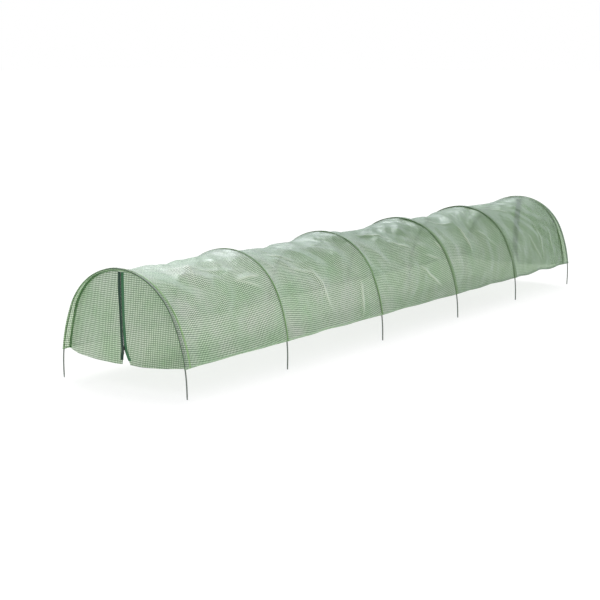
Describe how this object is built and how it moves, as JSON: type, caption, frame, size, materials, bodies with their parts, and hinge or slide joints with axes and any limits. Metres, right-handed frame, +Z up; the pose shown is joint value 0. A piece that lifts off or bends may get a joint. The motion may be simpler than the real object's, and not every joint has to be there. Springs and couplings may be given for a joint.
{
  "type": "low growing tunnel greenhouse",
  "caption": "Low arched plant tunnel: rod hoops carry a sagging green reinforced film cover with flat zipped end walls; bare legs show under the hem.",
  "frame": {"origin": "on the ground plane under the middle of the tunnel, level with the leg tips", "axes": "+Y along the tunnel from the front end wall to the back one, +X across it to the right seen from the front, +Z up"},
  "size_m": [0.59, 2.9568, 0.4257],
  "materials": {
    "cover_film": "translucent woven-grid film",
    "double_film": "two layers of woven-grid film",
    "galvanised_rod": "dull zinc",
    "zip_tape": "woven tape",
    "zip_coil": "nylon coil",
    "zip_slider": "satin enamel"
  },
  "bodies": {
    "root": {"hoop_1": "galvanised_rod", "hoop_sleeve_1": "double_film", "hoop_2": "galvanised_rod", "hoop_sleeve_2": "double_film", "hoop_3": "galvanised_rod", "hoop_sleeve_3": "double_film", "hoop_4": "galvanised_rod", "hoop_sleeve_4": "double_film", "hoop_5": "galvanised_rod", "hoop_sleeve_5": "double_film", "hoop_6": "galvanised_rod", "hoop_sleeve_6": "double_film", "cover_bay_1": "cover_film", "hem_left_1": "double_film", "hem_right_1": "double_film", "cover_bay_2": "cover_film", "hem_left_2": "double_film", "hem_right_2": "double_film", "cover_bay_3": "cover_film", "hem_left_3": "double_film", "hem_right_3": "double_film", "cover_bay_4": "cover_film", "hem_left_4": "double_film", "hem_right_4": "double_film", "cover_bay_5": "cover_film", "hem_left_5": "double_film", "hem_right_5": "double_film", "front_wall_left": "cover_film", "front_wall_right": "cover_film", "front_zip_tape_left": "zip_tape", "front_zip_tape_right": "zip_tape", "front_zip_coil": "zip_coil", "front_zip_slider": "zip_slider", "front_seam_binding": "double_film", "back_wall_left": "cover_film", "back_wall_right": "cover_film", "back_zip_tape_left": "zip_tape", "back_zip_tape_right": "zip_tape", "back_zip_coil": "zip_coil", "back_zip_slider": "zip_slider", "back_seam_binding": "double_film"}
  },
  "joints": []
}
